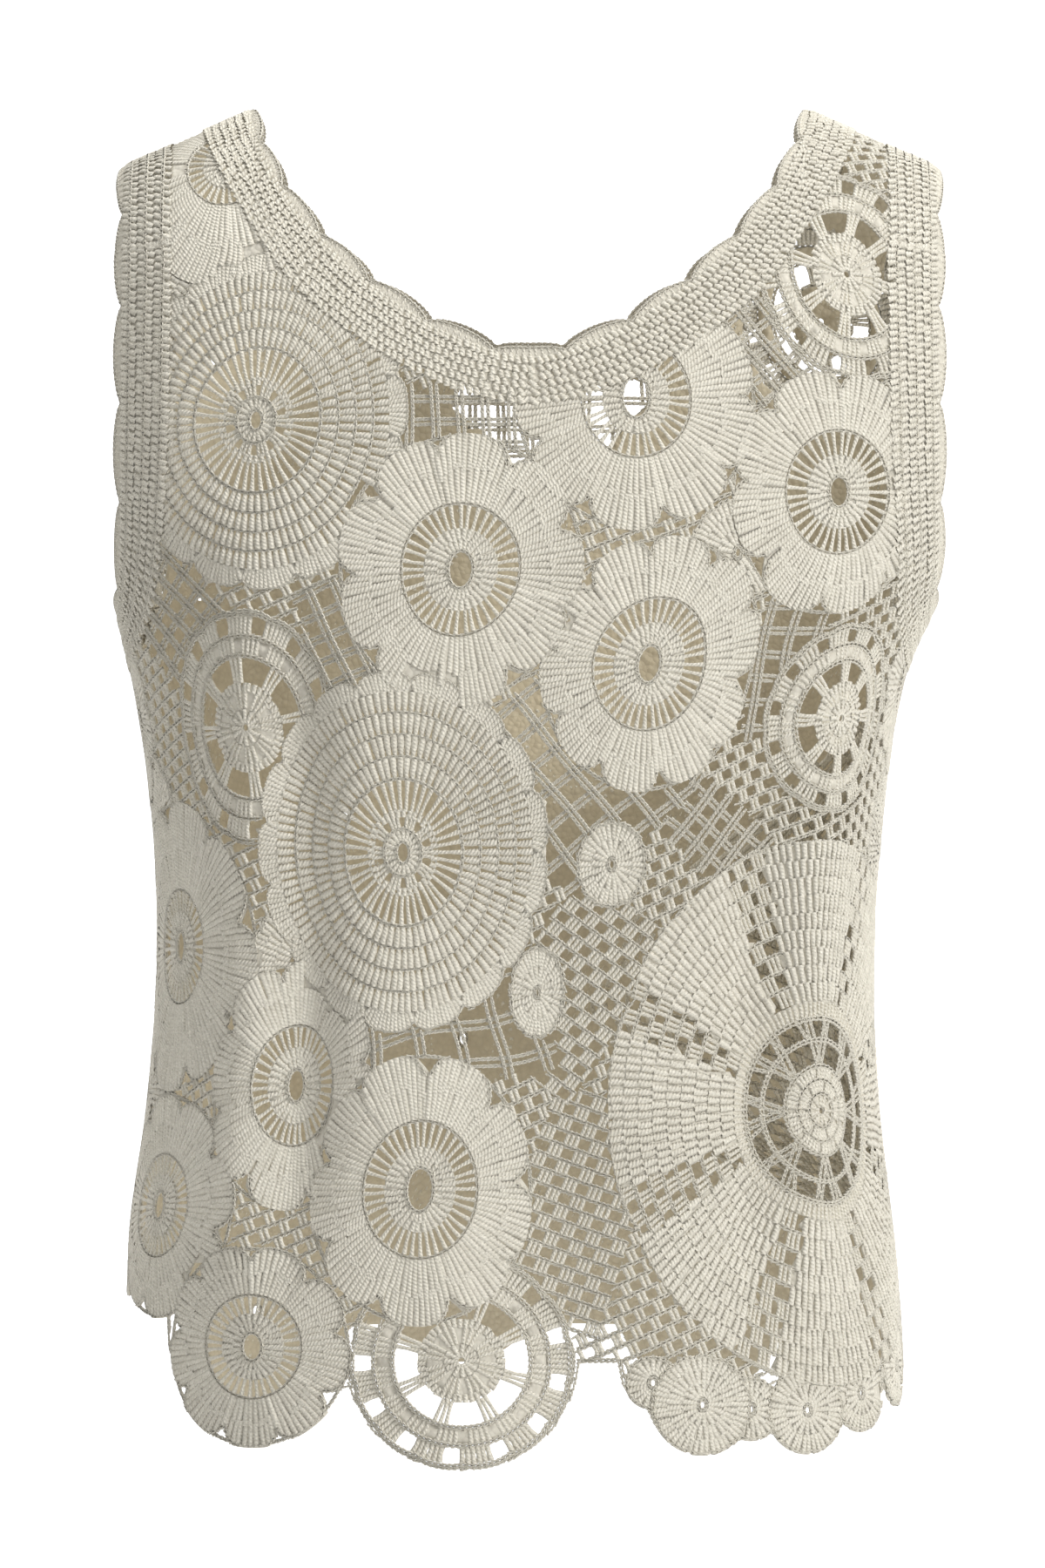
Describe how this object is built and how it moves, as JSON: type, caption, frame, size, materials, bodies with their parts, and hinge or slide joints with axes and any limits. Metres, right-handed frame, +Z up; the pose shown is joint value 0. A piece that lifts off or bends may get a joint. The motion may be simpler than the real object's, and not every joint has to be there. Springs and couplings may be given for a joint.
{
  "type": "tank top",
  "caption": "Sleeveless scoop-neck tank top of joined crochet motifs in ecru cotton, filled out with no wearer, with a scalloped hem.",
  "frame": {"origin": "where the cloth lies on the wearer's shoulders, midway between the neck ends of the two shoulder lines", "axes": "+Z up, -Y out of the front, +X to the right of someone who looks at the front"},
  "size_m": [0.3418, 0.2333, 0.5555],
  "materials": {
    "front_cotton": "matte",
    "back_cotton": "matte",
    "band_cotton": "matte"
  },
  "bodies": {
    "root": {"front_panel": "front_cotton", "back_panel": "back_cotton", "neck_band": "band_cotton", "armhole_band_left": "band_cotton", "armhole_band_right": "band_cotton"}
  },
  "joints": []
}
